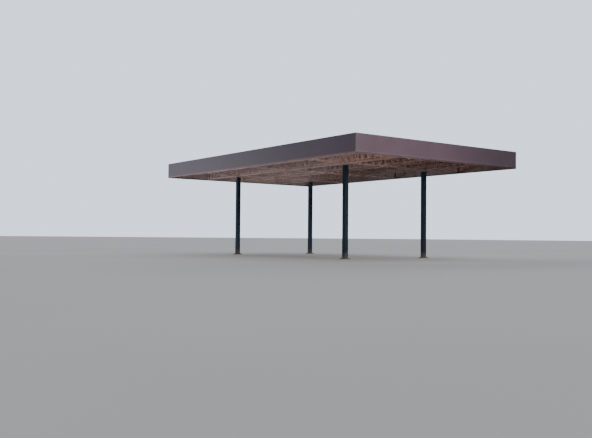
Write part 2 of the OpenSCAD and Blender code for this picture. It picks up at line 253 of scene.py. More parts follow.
def coated_sheet(name, base, seed=0.0, panel=2.25, back=None, rough=(0.30, 0.42), dirt=(0.16, 0.13, 0.115)):
    """Smooth coated sheet metal: faint tone steps from panel to panel, rain streaks
    under the cap, slight waves in the sheet, dirt along the lower edge."""
    m = Nodes(name)
    x, y, z = m.xyz
    # distance along the wall, whichever way the wall runs
    wall_x = m.remap(m.math("ABSOLUTE", m.nrm[1]), 0.4, 0.6)
    run = m.math("ADD", m.math("MULTIPLY", x, wall_x),
                 m.math("MULTIPLY", m.math("MULTIPLY", y, 0.9205), m.math("SUBTRACT", 1.0, wall_x)))
    cell = m.math("FLOOR", m.math("DIVIDE", m.math("ADD", run, 112.5 + panel / 2), panel))
    n = m.nt.nodes.new("ShaderNodeTexWhiteNoise")
    n.noise_dimensions = "1D"
    m.put(n.inputs["W"], m.math("ADD", cell, seed))
    tone = m.remap(n.outputs[0], 0.0, 1.0, 0.95, 1.05)
    blotch = m.remap(m.noise(0.22, 3, 0.5, m.scaled((1, 1, 1.6), (seed, 3, 1))), 0.3, 0.7, 0.92, 1.08)
    streak = m.noise(1.0, 4, 0.6, m.scaled((5.0, 5.0, 0.35), (seed, 0, 0)))
    down = m.remap(z, Z_CAP - 0.9, Z_CAP - 0.02, 0.0, 1.0)
    c = m.shade(base, m.math("MULTIPLY", tone, blotch))
    # painted reflection and shade: the long and short sides are tinted apart for how each is lit, and the long sides
    # are greyer towards the left end and darker and more plum towards the right end
    c = m.mix(wall_x, m.mix(1.0, c, (0.955, 1.0, 0.975), "MULTIPLY"), m.mix(1.0, c, (1.0, 0.92, 1.0), "MULTIPLY"))
    c = m.mix(m.math("MULTIPLY", m.remap(x, -10.0, 10.0, 1.0, 0.0), wall_x), c, (1.0, 1.0, 0.90), "MULTIPLY")
    c = m.mix(m.math("MULTIPLY", m.remap(x, -2.0, 10.0), wall_x), c, (0.95, 0.84, 0.93), "MULTIPLY")
    c = m.mix(m.math("MULTIPLY", m.remap(streak, 0.50, 0.78), m.math("MULTIPLY", down, 0.35)), c,
              tuple(v * 0.62 for v in base))
    low = m.math("MULTIPLY", m.remap(z, Z_BAND + 0.16, Z_BAND, 0.0, 1.0, True),
                 m.remap(m.noise(3.0, 4, 0.6), 0.35, 0.7, 0.15, 0.6))
    c = m.mix(low, c, dirt)
    # seam between two panels
    frac = m.math("FRACT", m.math("DIVIDE", m.math("ADD", run, 112.5 + panel / 2), panel))
    edge = m.math("MINIMUM", frac, m.math("SUBTRACT", 1.0, frac))
    seam = m.remap(edge, 0.0, 0.0022, 1.0, 0.0)
    c = m.mix(m.math("MULTIPLY", seam, 0.5), c, tuple(v * 0.4 for v in base))
    # the inner face takes the colour back, pale as painted light, darkened as painted shade over the rear and, redder,
    # towards the right end
    if back is not None:
        inside = m.math("MINIMUM", m.math("SUBTRACT", OX, m.math("ABSOLUTE", x)),
                        m.math("SUBTRACT", OY, m.math("ABSOLUTE", y)))
        k = m.remap(inside, 0.0015, 0.0025)
        rear = m.mix(m.painted_shade_zone(0.8, 3.4, 1.0), back, (back[0] * 0.26, back[1] * 0.22, back[2] * 0.22))
        rear = m.mix(m.remap(x, 3.0, 8.0, 0.0, 1.0, True), rear, (back[0] * 0.27, back[1] * 0.155, back[2] * 0.135))
        rear = m.mix(m.remap(m.noise(0.9, 5, 0.65), 0.32, 0.68), rear, m.shade(rear, 0.68))
        c = m.mix(k, c, rear)
    wave = m.noise(0.9, 2, 0.4, m.scaled((1, 1, 0.55), (seed, 0, 0)))
    h = m.math("SUBTRACT", wave, m.math("MULTIPLY", seam, 0.15))
    normal = m.bump(h, 0.25, 0.012)
    normal = m.bump(m.noise(160.0, 2, 0.5), 0.04, 0.0006, normal)
    r = m.remap(m.noise(1.6, 4, 0.6), 0.3, 0.7, *rough)
    return m.set(color=c, rough=r, normal=normal, spec=0.5)


def lip_sheet(name, light, dark):
    """Return lip under the band: pale on the long sides' outer and lower faces, the trim's colour with painted light;
    dark on the short sides and inside, as painted shade.
    """
    m = Nodes(name)
    x, y, z = m.xyz
    long_side = m.remap(m.math("SUBTRACT", m.math("SUBTRACT", 12.0, m.math("ABSOLUTE", x)),
                               m.math("SUBTRACT", 7.4, m.math("ABSOLUTE", y))), -0.002, 0.002)
    outward = m.remap(m.math("MULTIPLY", m.nrm[1], y), 0.5, 1.0)
    down = m.remap(m.nrm[2], -0.6, -0.4, 1.0, 0.0)
    # painted light on the long sides' outer and lower faces, painted shade everywhere else
    k = m.math("MULTIPLY", long_side, m.math("MAXIMUM", outward, down), clamp=True)
    c = m.mix(k, dark, light)
    blotch = m.remap(m.noise(1.3, 4, 0.6), 0.3, 0.7, 0.85, 1.12)
    c = m.shade(c, blotch)
    c = m.mix(m.math("MULTIPLY", m.remap(m.noise(6.0, 5, 0.7), 0.55, 0.75), 0.5), c, (0.085, 0.05, 0.042))
    return m.set(color=c, rough=m.remap(m.noise(2.0, 4, 0.6), 0.3, 0.7, 0.5, 0.7),
                 normal=m.bump(m.noise(60, 3, 0.6), 0.1, 0.001), spec=0.3)


def profiled_sheet(name, base, under):
    """Coated roof sheet: laps every metre, dust in the pans, a browner underside darkened as painted shade, most over
    the rear.
    """
    m = Nodes(name)
    x, y, z = m.xyz
    lap = m.math("FRACT", m.math("DIVIDE", m.math("ADD", x, 100.0), 0.999))
    line = m.remap(m.math("MINIMUM", lap, m.math("SUBTRACT", 1.0, lap)), 0.0, 0.006, 1.0, 0.0)
    n = m.nt.nodes.new("ShaderNodeTexWhiteNoise")
    n.noise_dimensions = "1D"
    m.put(n.inputs["W"], m.math("FLOOR", m.math("DIVIDE", m.math("ADD", x, 100.0), 0.999)))
    tone = m.remap(n.outputs[0], 0.0, 1.0, 0.90, 1.10)
    big = m.noise(0.35, 5, 0.6)
    mid = m.noise(2.4, 5, 0.65, m.scaled((1.0, 0.35, 1.0)))
    up = m.remap(m.nrm[2], -0.1, 0.1)
    top = m.mix(m.remap(mid, 0.38, 0.7, 0.0, 0.7), base, tuple(min(1.0, v * 1.45) for v in base))
    low = m.mix(m.remap(mid, 0.35, 0.7), under, tuple(v * 0.6 for v in under))
    low = m.mix(m.remap(big, 0.45, 0.7, 0.0, 0.7), low, (under[0] * 1.15, under[1] * 1.0, under[2] * 0.85))
    # painted shade: the underside darker over the rear
    low = m.shade(low, m.remap(m.painted_shade_zone(), 0.0, 1.0, 1.0, 0.55))
    # painted shade: the underside takes the much darker colour under, the top the paler one
    c = m.shade(m.mix(up, low, top), tone)
    c = m.mix(m.math("MULTIPLY", line, 0.55), c, tuple(v * 0.35 for v in under))
    r = m.remap(mid, 0.3, 0.7, 0.42, 0.68)
    b = m.bump(m.math("ADD", m.noise(60, 3, 0.6), m.math("MULTIPLY", line, 2.0)), 0.2, 0.0015)
    return m.set(color=c, rough=r, normal=b)


def enamel(name, base):
    """Dark semi-gloss enamel on the columns: thin patches, run marks, mud near the ground."""
    m = Nodes(name)
    x, y, z = m.xyz
    big = m.noise(1.1, 4, 0.6)
    fine = m.noise(55, 3, 0.6)
    streak = m.noise(1.0, 5, 0.65, m.scaled((22, 22, 0.8)))
    c = m.shade(base, m.remap(big, 0.3, 0.7, 0.82, 1.22))
    c = m.mix(m.remap(streak, 0.56, 0.75, 0.0, 0.35), c, (0.11, 0.12, 0.13))
    chips = m.remap(m.noise(26, 5, 0.7), 0.67, 0.71)
    c = m.mix(m.math("MULTIPLY", chips, 0.8), c, (0.16, 0.07, 0.045))
    # a film of pale dust over the lower half
    c = m.mix(m.remap(z, 0.4, 4.6, 0.6, 0.0, True), c, (0.030, 0.043, 0.061))
    # painted light: the two left columns 1.7 times lighter, the right ones slightly darker
    c = m.shade(c, m.remap(x, -6.0, 6.0, 1.7, 0.95))
    # mud splashed up from the ground, thinning with height
    reach = m.remap(z, 0.05, 0.95, 1.0, 0.0)
    mud = m.math("MULTIPLY", m.remap(m.math("ADD", reach, m.math("MULTIPLY", m.noise(7, 6, 0.7), 0.9)), 0.95, 1.35), 0.8)
    c = m.mix(mud, c, m.mix(m.remap(fine, 0.35, 0.65), (0.21, 0.175, 0.165), (0.13, 0.112, 0.115)))
    r = m.math("ADD", m.remap(big, 0.3, 0.7, 0.58, 0.70), m.math("MULTIPLY", mud, 0.3), clamp=True)
    b = m.bump(m.math("ADD", m.math("MULTIPLY", fine, 0.4), m.math("ADD", chips, mud)), 0.25, 0.0015)
    return m.set(color=c, rough=r, normal=b, spec=0.10)


def cast_concrete(name, base):
    m = Nodes(name)
    big = m.noise(2.3, 5, 0.6)
    fine = m.noise(70, 4, 0.7)
    pores = m.remap(m.voronoi(55), 0.0, 0.22, 1.0, 0.0)
    c = m.mix(m.remap(big, 0.35, 0.68), base, tuple(v * 0.72 for v in base))
    c = m.mix(m.remap(m.noise(6, 5, 0.7), 0.5, 0.72, 0.0, 0.6), c, (0.33, 0.25, 0.20))
    c = m.mix(m.math("MULTIPLY", pores, 0.5), c, tuple(v * 0.4 for v in base))
    b = m.bump(m.math("SUBTRACT", fine, pores), 0.5, 0.003)
    return m.set(color=c, rough=m.remap(big, 0.3, 0.7, 0.8, 0.95), normal=b)


def zinc_sheet(name):
    m = Nodes(name)
    cell = m.voronoi(34, out="Color")
    k = m.split(cell)[0]
    big = m.noise(1.4, 5, 0.6)
    c = m.mix(m.remap(k, 0, 1, 0, 1), (0.36, 0.375, 0.385), (0.47, 0.48, 0.49))
    c = m.mix(m.remap(big, 0.5, 0.72, 0.0, 0.6), c, (0.27, 0.23, 0.20))
    r = m.math("ADD", m.remap(k, 0, 1, 0.38, 0.5), m.remap(big, 0.5, 0.7, 0, 0.25), clamp=True)
    return m.set(color=c, metal=0.75, rough=r, normal=m.bump(m.noise(45, 3, 0.6), 0.12, 0.0008))


# in each primer given worn, that darker colour is painted shade over the rear of the roof
PRIMED = dict(base=(0.435, 0.305, 0.29), dusty=(0.50, 0.365, 0.35), rust=(0.30, 0.125, 0.06), worn=(0.215, 0.135, 0.115))
STEEL = primer("primed_steel", **PRIMED)
# lit and shaded copies of the primer: painted shade on the lower chords of the long trusses, the middle truss and the
# right column cross truss; painted light on those of the left and middle cross trusses
STEEL_SHADED_CHORDS = primer("primed_shaded_chords", **PRIMED, chord=(6.46, 0.78))
STEEL_RIDGE_SHADED_CHORD = primer("primed_middle_shaded_chord", **PRIMED, chord=(6.61, 0.95))
STEEL_LIT_CHORDS = primer("primed_lit_chords", **PRIMED, chord=(6.46, 1.4))
STEEL_TIES = primer("primed_ties", (0.69, 0.50, 0.455), (0.75, 0.56, 0.51), (0.30, 0.125, 0.06), seed=3.0,
                    worn=(0.42, 0.285, 0.24))
# the edge frames pale as painted light, and much darker over the rear as painted shade
STEEL_EDGE = primer("primed_edge_frame", (0.50, 0.385, 0.35), (0.58, 0.46, 0.42), (0.24, 0.11, 0.055), seed=4.0,
                    worn=(0.145, 0.10, 0.085))
# painted shade: the purlins and their cleats in a darker primer, so the gaps between the trusses read dark; painted
# light makes them 1.5 times lighter over the left half
STEEL_PURLINS_SHADED = primer("primed_purlins_shaded", (0.36, 0.255, 0.235), (0.42, 0.31, 0.285), (0.20, 0.08, 0.04), seed=2.0,
                    worn=(0.17, 0.11, 0.095), left=1.5)
BEARING = primer("bearing_primer", (0.25, 0.17, 0.14), (0.30, 0.22, 0.18), (0.16, 0.06, 0.035), seed=6.0)
BOLT = primer("dark_bolts", (0.075, 0.062, 0.058), (0.12, 0.10, 0.09), (0.15, 0.06, 0.03), seed=9.0, rough=(0.4, 0.6))
BAND = coated_sheet("fascia_paint", (0.0572, 0.0325, 0.0474), back=(0.62, 0.49, 0.44))
CAP = coated_sheet("coping_paint", (0.052, 0.038, 0.048), seed=7.0, panel=3.0, rough=(0.34, 0.46))
# the pale colour carries painted light, the dark one is painted shade
LIP = lip_sheet("lip_paint", (0.215, 0.145, 0.155), (0.040, 0.022, 0.026))
# the underside colour is the sheet's brown darkened as painted shade
DECK = profiled_sheet("roof_sheet", (0.20, 0.165, 0.15), (0.046, 0.031, 0.026))
COLUMN = enamel("column_paint", (0.0080, 0.0152, 0.0262))
CONCRETE = cast_concrete("footing", (0.42, 0.38, 0.345))
ZINC = zinc_sheet("gutter_zinc")

BY_SLOT = {
    "footing": CONCRETE, "column_paint": COLUMN, "primed_steel": STEEL, "fascia_paint": BAND,
    "coping_paint": CAP, "lip_paint": LIP, "roof_sheet": DECK, "gutter_zinc": ZINC,
    "bearing_primer": BEARING,
}
BY_NODE = {
    "main_truss_front": STEEL_SHADED_CHORDS, "main_truss_rear": STEEL_SHADED_CHORDS, "ridge_truss": STEEL_RIDGE_SHADED_CHORD,
    "column_cross_truss_left": STEEL_LIT_CHORDS, "cross_truss_middle": STEEL_LIT_CHORDS,
    "column_cross_truss_right": STEEL_SHADED_CHORDS,
    "fascia_frame_front": STEEL_EDGE, "fascia_frame_rear": STEEL_EDGE,
    "fascia_frame_left": STEEL_EDGE, "fascia_frame_right": STEEL_EDGE,
    "purlins_front": STEEL_PURLINS_SHADED, "purlins_rear": STEEL_PURLINS_SHADED,
}
for sub in frame["record"]["subparts"]:
    o = NODES[sub["node"]]
    mat = BY_NODE.get(sub["node"], BY_SLOT[sub["material_slot"]])
    if o.material_slots:
        for s in o.material_slots:
            s.material = mat
    else:
        o.data.materials.append(mat)


# ---------------------------------------------------------------- mesh helpers
class Mesh:
    """Collects many small solids into one mesh."""

    def __init__(self):
        self.v, self.f = [], []

    def add(self, verts, faces):
        k = len(self.v)
        self.v += [tuple(p) for p in verts]
        self.f += [tuple(k + i for i in f) for f in faces]

    def box(self, lo, hi):
        (a, b, c), (d, e, g) = lo, hi
        self.add([(a, b, c), (d, b, c), (d, e, c), (a, e, c), (a, b, g), (d, b, g), (d, e, g), (a, e, g)],
                 [(0, 3, 2, 1), (4, 5, 6, 7), (0, 1, 5, 4), (1, 2, 6, 5), (2, 3, 7, 6), (3, 0, 4, 7)])

    def hexa(self, eight):
        """A solid from four points below and the four above them."""
        self.add(eight, [(0, 3, 2, 1), (4, 5, 6, 7), (0, 1, 5, 4), (1, 2, 6, 5), (2, 3, 7, 6), (3, 0, 4, 7)])

    def slab(self, axes, lo, hi):
        """A box drawn along three axes from an origin."""
        o, u, v, w = axes
        (a, b, c), (d, e, g) = lo, hi
        self.hexa([o + u * x + v * y + w * z for z in (c, g) for x, y in ((a, b), (d, b), (d, e), (a, e))])

    def rod(self, p, q, r, n=6, r2=None, turn=0.0, dome=0.0):
        """A round or n-sided bar from p to q, with an optional low dome on q."""
        p, q = Vector(p), Vector(q)
        d = (q - p).normalized()
        s = d.cross(Vector((0, 0, 1)) if abs(d.z) < 0.9 else Vector((1, 0, 0))).normalized()
        t = d.cross(s)
        r2 = r if r2 is None else r2
        ring = [(math.cos(turn + 2 * math.pi * i / n), math.sin(turn + 2 * math.pi * i / n)) for i in range(n)]
        vs = [p + (s * c + t * e) * r for c, e in ring] + [q + (s * c + t * e) * r2 for c, e in ring]
        fs = [tuple(reversed(range(n)))]
        fs += [(i, (i + 1) % n, n + (i + 1) % n, n + i) for i in range(n)]
        if dome:
            vs += [q + d * dome * 0.75 + (s * c + t * e) * r2 * 0.62 for c, e in ring] + [q + d * dome]
            fs += [(n + i, n + (i + 1) % n, 2 * n + (i + 1) % n, 2 * n + i) for i in range(n)]
            fs += [(2 * n + i, 2 * n + (i + 1) % n, 3 * n) for i in range(n)]
        else:
            fs.append(tuple(range(n, 2 * n)))
        self.add(vs, fs)

    def bolt(self, p, d, af=0.024, head=0.012, washer=0.036):
        """Hex head on a washer, standing on p along d."""
        p, d = Vector(p), Vector(d).normalized()
        self.rod(p, p + d * 0.003, washer / 2, 10)
        self.rod(p + d * 0.003, p + d * (0.003 + head), af / math.sqrt(3), 6)

    def make(self, name, mat, slot, smooth=None, bevel=0.0):
        me = bpy.data.meshes.new(name)
        me.from_pydata(self.v, [], self.f)
        me.validate()
        bm = bmesh.new()
        bm.from_mesh(me)
        bmesh.ops.recalc_face_normals(bm, faces=bm.faces)
        bm.to_mesh(me)
        bm.free()
        me.materials.append(mat)
        o = bpy.data.objects.new(name, me)
        bpy.context.scene.collection.objects.link(o)
        if bevel:
            b = o.modifiers.new("edge", "BEVEL")
            b.width, b.segments, b.limit_method = bevel, 2, "ANGLE"
        if smooth:
            me.set_sharp_from_angle(angle=math.radians(smooth))
            for poly in me.polygons:
                poly.use_smooth = True
        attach(o, "root")
        return o


def rounded_square(s, r, n=5):
    """Outline points and outward directions of a rounded square."""
    out = []
    for k in range(4):
        a0 = math.pi / 2 * k
        cx, cy = (s / 2 - r) * (1 if k in (0, 3) else -1), (s / 2 - r) * (1 if k in (0, 1) else -1)
        for i in range(n + 1):
            a = a0 + math.pi / 2 * i / n
            out.append(((cx + r * math.cos(a), cy + r * math.sin(a)), (math.cos(a), math.sin(a))))
    return out


def fine_outline(outline, step):
    """The outline with long straight runs cut into steps, for uneven beads."""
    out = []
    for i, (p, n) in enumerate(outline):
        q, m = outline[(i + 1) % len(outline)]
        d = math.dist(p, q)
        k = max(1, int(d / step))
        for j in range(k):
            t = j / k
            out.append(((p[0] + (q[0] - p[0]) * t, p[1] + (q[1] - p[1]) * t), n if j == 0 else m))
    return out


def bead(mesh, cx, cy, outline, z, out, up):
    """Fillet weld round an outline at height z, a little uneven."""
    pts = []
    for (x, y), (nx, ny) in outline:
        a, b = out * random.uniform(0.8, 1.15), up * random.uniform(0.8, 1.15)
        x, y = x + cx, y + cy
        pts.append([(x - nx * 0.002, y - ny * 0.002, z - 0.001 * (1 if up > 0 else -1)), (x + nx * a, y + ny * a, z),
                    (x + nx * a * 0.62, y + ny * a * 0.62, z + b * 0.62), (x, y, z + b),
                    (x - nx * 0.002, y - ny * 0.002, z + b)])
    n, k = len(pts), len(pts[0])
    mesh.add([v for ring in pts for v in ring],
             [(i * k + j, ((i + 1) % n) * k + j, ((i + 1) % n) * k + (j + 1) % k, i * k + (j + 1) % k)
              for i in range(n) for j in range(k)])


# ---------------------------------------------------------------- columns' feet and heads
COLUMNS = [(sx * COL_X, sy * COL_Y) for sx in (-1, 1) for sy in (-1, 1)]
FOOTINGS = ["footing_front_left", "footing_rear_left", "footing_front_right", "footing_rear_right"]


def footing(name, cx, cy):
    """Low cast footing with worn arrises, chipped corners and a floated top."""
    m = Mesh()
    n, h = 28, PAD_S / 2
    inset = {}
    for side in range(4):
        for i in range(n + 1):
            inset[side, i] = 0.003 + 0.005 * random.random() + (0.014 * random.random() if random.random() < 0.10 else 0)
    idx = {}
    for i in range(n + 1):
        for j in range(n + 1):
            x, y = -h + PAD_S * i / n, -h + PAD_S * j / n
            e = min(i, j, n - i, n - j)
            z = Z_PAD
            if e == 0:
                side = 0 if j == 0 else 1 if i == n else 2 if j == n else 3
                a = inset[side, i if side in (0, 2) else j]
                if i in (0, n) and j in (0, n):
                    a = 0.012 + 0.008 * random.random()
                x = max(-h + a, min(h - a, x))
                y = max(-h + a, min(h - a, y))
                z = Z_PAD - a * 0.6
            elif e == 1:
                z = Z_PAD - random.uniform(0.0, 0.0012)
            elif max(abs(x), abs(y)) > BASE_S / 2 + 0.01:
                z = Z_PAD - random.uniform(0.0, 0.0008)
            idx[i, j] = len(m.v)
            m.v.append((cx + x, cy + y, z))
    for i in range(n):
        for j in range(n):
            m.f.append((idx[i, j], idx[i + 1, j], idx[i + 1, j + 1], idx[i, j + 1]))
    rim = ([(i, 0) for i in range(n)] + [(n, j) for j in range(n)]
           + [(i, n) for i in range(n, 0, -1)] + [(0, j) for j in range(n, 0, -1)])
    low = []
    for i, j in rim:
        x, y, _ = m.v[idx[i, j]]
        k = 0.0 + 0.002 * random.random()
        low.append(len(m.v))
        m.v.append((cx + max(-h + k, min(h - k, (x - cx) * 1.012)), cy + max(-h + k, min(h - k, (y - cy) * 1.012)), 0.0))
    for k in range(len(rim)):
        a, b = idx[rim[k]], idx[rim[(k + 1) % len(rim)]]
        m.f.append((a, low[k], low[(k + 1) % len(rim)], b))
    m.f.append(tuple(reversed(low)))
    o = m.make(name + "_cast", CONCRETE, "footing", smooth=40)
    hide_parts(name)


for name, (cx, cy) in zip(FOOTINGS, COLUMNS):
    footing(name, cx, cy)

anchors, welds = Mesh(), Mesh()
tube = fine_outline(rounded_square(COL_S, COL_R), 0.014)
for cx, cy in COLUMNS:
    for sx in (-1, 1):
        for sy in (-1, 1):
            x, y = cx + sx * (BASE_S / 2 - 0.036), cy + sy * (BASE_S / 2 - 0.036)
            anchors.rod((x, y, Z_PAD + 0.001), (x, y, Z_BASE + 0.052 + random.uniform(-0.006, 0.008)), 0.012, 12, dome=0.002)
            anchors.rod((x, y, Z_BASE), (x, y, Z_BASE + 0.004), 0.025, 20)
            t = random.uniform(0, 1)
            anchors.rod((x, y, Z_BASE + 0.004), (x, y, Z_BASE + 0.023), 0.0208, 6, turn=t)
            anchors.rod((x, y, Z_BASE + 0.0235), (x, y, Z_BASE + 0.034), 0.0208, 6, turn=t + random.uniform(0.2, 0.8))
            # through bolts of the bearing
            x, y = cx + sx * 0.118, cy + sy * 0.118
            anchors.rod((x, y, 6.267), (x, y, 6.270), 0.020, 16)
            anchors.rod((x, y, 6.270), (x, y, 6.286), 0.0173, 6, turn=random.uniform(0, 1))
            anchors.rod((x, y, 6.286), (x, y, 6.296), 0.010, 10)
            # clamps of the chord on the seat plate
            x, y = cx + sx * 0.083, cy + sy * 0.056
            anchors.rod((x, y, 6.371), (x, y, 6.374), 0.0125, 12)
            anchors.rod((x, y, 6.374), (x, y, 6.385), 0.0115, 6, turn=random.uniform(0, 1))
            anchors.rod((x, y, 6.344), (x, y, 6.357), 0.0115, 6, turn=random.uniform(0, 1))
    bead(welds, cx, cy, tube, Z_BASE, 0.010, 0.010)
    bead(welds, cx, cy, tube, Z_HEAD, 0.009, -0.009)
    for a in range(4):
        ca, sa = round(math.cos(a * math.pi / 2)), round(math.sin(a * math.pi / 2))
        for w in (-1, 1):
            # beads along both sides of each stiffener's foot and back
            for k in range(8):
                r0, r1 = COL_S / 2 + 0.004 + k * 0.0075, COL_S / 2 + 0.004 + (k + 1) * 0.0075
                t = 0.006 + 0.005 * random.uniform(0.8, 1.2)
                q = [(r0, w * 0.005, Z_BASE), (r1, w * 0.005, Z_BASE), (r1, w * t, Z_BASE), (r0, w * t, Z_BASE),
                     (r0, w * 0.005, Z_BASE + 0.006), (r1, w * 0.005, Z_BASE + 0.006),
                     (r1, w * 0.0075, Z_BASE + 0.005), (r0, w * 0.0075, Z_BASE + 0.005)]
                welds.hexa([(cx + x * ca - y * sa, cy + x * sa + y * ca, z) for x, y, z in q])
anchors.make("anchor_bolts", BOLT, "bearing_primer", smooth=30)
welds.make("column_welds", COLUMN, "column_paint", smooth=50)

# ---------------------------------------------------------------- welds at the trusses' joints
joints = Mesh()


def collar(axes, at, z, half, w, lean, up):
    """Weld round the bars that meet a chord's face at z: wider at the chord, narrow at the bars."""
    o, u, v = axes
    f = 0.007 * random.uniform(0.85, 1.15)
    h = 0.008 * up
    pts = []
    for zz, hu, hw in ((z - 0.0005 * up, half + f, w / 2 + f), (z + h, half + 0.008 * lean + 0.0006, w / 2 + 0.0006)):
        for a, b in ((-hu, -hw), (hu, -hw), (hu, hw), (-hu, hw)):
            pts.append(o + u * (at + a) + v * b + Vector((0, 0, zz)))
    joints.hexa(pts)


def truss_joints(axes, u, zb, top, c, w, uprights=()):
    for i in range(len(u) - 1):
        run = (u[i + 1] - u[i]) / 2
        apex = (u[i] + u[i + 1]) / 2
        rise = top(apex) - c - zb
        cot = run / rise
        half = c / 2 * cot + w / 2 * math.sqrt(1 + cot * cot)
        collar(axes, apex, top(apex) - c, half, w, cot, -1)
        if i:
            collar(axes, u[i], zb + c, half, w, cot, 1)
    for x in uprights:
        collar(axes, x, top(x) - c, w / 2, w, 0.0, -1)
    for s, x in ((1, u[0]), (-1, u[-1])):
        # end posts
        for z, up in ((zb + c, 1), (top(x) - c, -1)):
            pts = []
            for zz, hw, e in ((z - 0.0005 * up, w / 2 + 0.006, 0.007), (z + 0.008 * up, w / 2 + 0.0006, 0.0006)):
                a, b = sorted((x, x + s * (w + e)))
                for p, q in ((a, -hw), (b, -hw), (b, hw), (a, hw)):
                    pts.append(axes[0] + axes[1] * p + axes[2] * q + Vector((0, 0, zz)))
            joints.hexa(pts)


for y in (-COL_Y, 0.0, COL_Y):
    truss_joints((Vector((0, y, 0)), Vector((1, 0, 0)), Vector((0, 1, 0))), X_NODES, Z_CHORD if y else Z_MIDDLE,
                 lambda x, y=y: ztop(y), CHORD, WEB, CROSS_X)
# round the heads of the short posts under the middle truss
for x in DEEP_X:
    joints.hexa([(x + a, b, z) for z, h in ((Z_MIDDLE - 0.007, 0.0404), (Z_MIDDLE + 0.0005, 0.046))
                 for a, b in ((-h, -0.0405), (h, -0.0405), (h, 0.0405), (-h, 0.0405))])
for x in CROSS_X:
    deep = x in DEEP_X
    zb, c, w = (Z_CHORD, CHORD, WEB) if deep else (Z_LIGHT, L_CHORD, L_WEB)
    for a, b in SEGMENTS:
        u = [a + (b - a) * i / 6 for i in range(7)]
        truss_joints((Vector((x, 0, 0)), Vector((0, 1, 0)), Vector((1, 0, 0))), u, zb, ztop, c, w)
joints.make("truss_welds", STEEL, "primed_steel")

# ---------------------------------------------------------------- plates and bolts of the trusses
plates, bolts = Mesh(), Mesh()


def side_plates(x, y, s, z, c, length=0.120):
    """Pair of bolted plates on a cross truss chord where it meets a long truss or an edge frame.
    s: direction in which the chord runs away from the joint."""
    for t in (-1, 1):
        f = x + t * c / 2
        xa, xb = sorted((f, f + t * 0.008))
        ya, yb = sorted((y, y + s * length))
        plates.box((xa, ya, z - c / 2 + 0.006), (xb, yb, z + c / 2 - 0.006))
        for k in (0.034, length - 0.030):
            bolts.bolt((f + t * 0.008, y + s * k, z), (t, 0, 0), af=0.022, head=0.010, washer=0.030)


for x in CROSS_X:
    deep = x in DEEP_X
    c = CHORD if deep else L_CHORD
    zc = (Z_CHORD if deep else Z_LIGHT) + c / 2
    for y in (-COL_Y, 0.0, COL_Y):
        for s in (-1, 1):
            e = y + s * CHORD / 2
            if deep and abs(x) > 1 and y:
                side_plates(x, e + s * 0.040, s, zc, c)        # past the seat of the column
            else:
                side_plates(x, e if deep else y + s * WEB / 2, s, zc, c)
            side_plates(x, e, s, ztop(e + s * 0.06) - c / 2, c)
    for s in (-1, 1):
        side_plates(x, -s * IY, s, zc, c, 0.100)
        side_plates(x, -s * IY, s, ztop(IY - 0.05) - c / 2, c, 0.100)
for y in (-COL_Y, 0.0, COL_Y):
    zl = (Z_CHORD if y else Z_MIDDLE) + CHORD / 2
    for s in (-1, 1):
        for z in (zl, ztop(y) - CHORD / 2):
            for t in (-1, 1):
                f = y + t * CHORD / 2
                ya, yb = sorted((f, f + t * 0.008))
                xa, xb = sorted((-s * IX, -s * IX + s * 0.110))
                plates.box((xa, ya, z - 0.034), (xb, yb, z + 0.034))
                for k in (0.032, 0.082):
                    bolts.bolt((-s * IX + s * k, f + t * 0.008, z), (0, t, 0), af=0.022, head=0.010, washer=0.030)
    # bolted flanges where the long trusses' three lengths meet
    for x in (-4.215, 4.215):
        for z in (zl, ztop(y) - CHORD / 2):
            h = 0.058
            for t in (-1, 1):
                xa, xb = sorted((x, x + t * 0.012))
                plates.box((xa, y - 0.066, z - h if z > 7 else z - 0.044), (xb, y + 0.066, z + 0.062 if z < 7 else z + 0.044))
                for dy in (-0.052, 0.052):
                    for dz in ((-0.040, 0.018) if z > 7 else (-0.018, 0.044)):
                        bolts.bolt((x + t * 0.012, y + dy, z + dz), (t, 0, 0), af=0.022, head=0.010, washer=0.026)
plates.make("truss_plates", STEEL, "primed_steel")

# ---------------------------------------------------------------- purlins: cleats, sag rods
cleats = Mesh()
for s in (-1, 1):
    axes = roof_axes(s)
    o, u, v, w = axes
    for d in PURLINS:
        for x in CROSS_X:
            half = 0.028 if x not in DEEP_X else 0.036
            cleats.slab(axes, (x - half, d + 0.028, 0.0), (x + half, d + 0.034, 0.066))
            cleats.slab(axes, (x - half, d + 0.034, 0.0), (x + half, d + 0.092, 0.006))
            p = o + u * x + v * (d + 0.034) + w * 0.042
            bolts.bolt(p, v, af=0.019, head=0.009, washer=0.026)
            bolts.bolt(o + u * x + v * (d + 0.066) + w * 0.006, w, af=0.019, head=0.009, washer=0.026)
    for x in [sx * (1.125 + 2.25 * k) for sx in (-1, 1) for k in range(5)]:
        q = lambda d: o + u * x + v * d + w * 0.046
        bolts.rod(q(PURLINS[0] - 0.05), q(PURLINS[-1] + 0.05), 0.006, 8)
        for d in PURLINS:
            for t in (-1, 1):
                bolts.rod(q(d + t * 0.028), q(d + t * 0.031), 0.012, 10)
                bolts.rod(q(d + t * 0.031), q(d + t * 0.041), 0.0105, 6)
cleats.make("purlin_cleats", STEEL_PURLINS_SHADED, "primed_steel")

# ---------------------------------------------------------------- ties along the roof, under the light cross trusses
TIE_Y = [s * v for s in (-1, 1) for v in (0.04 + 3.62 / 3, 0.04 + 7.24 / 3, 3.74 + 3.593 / 3, 3.74 + 7.186 / 3)]
ties = Mesh()


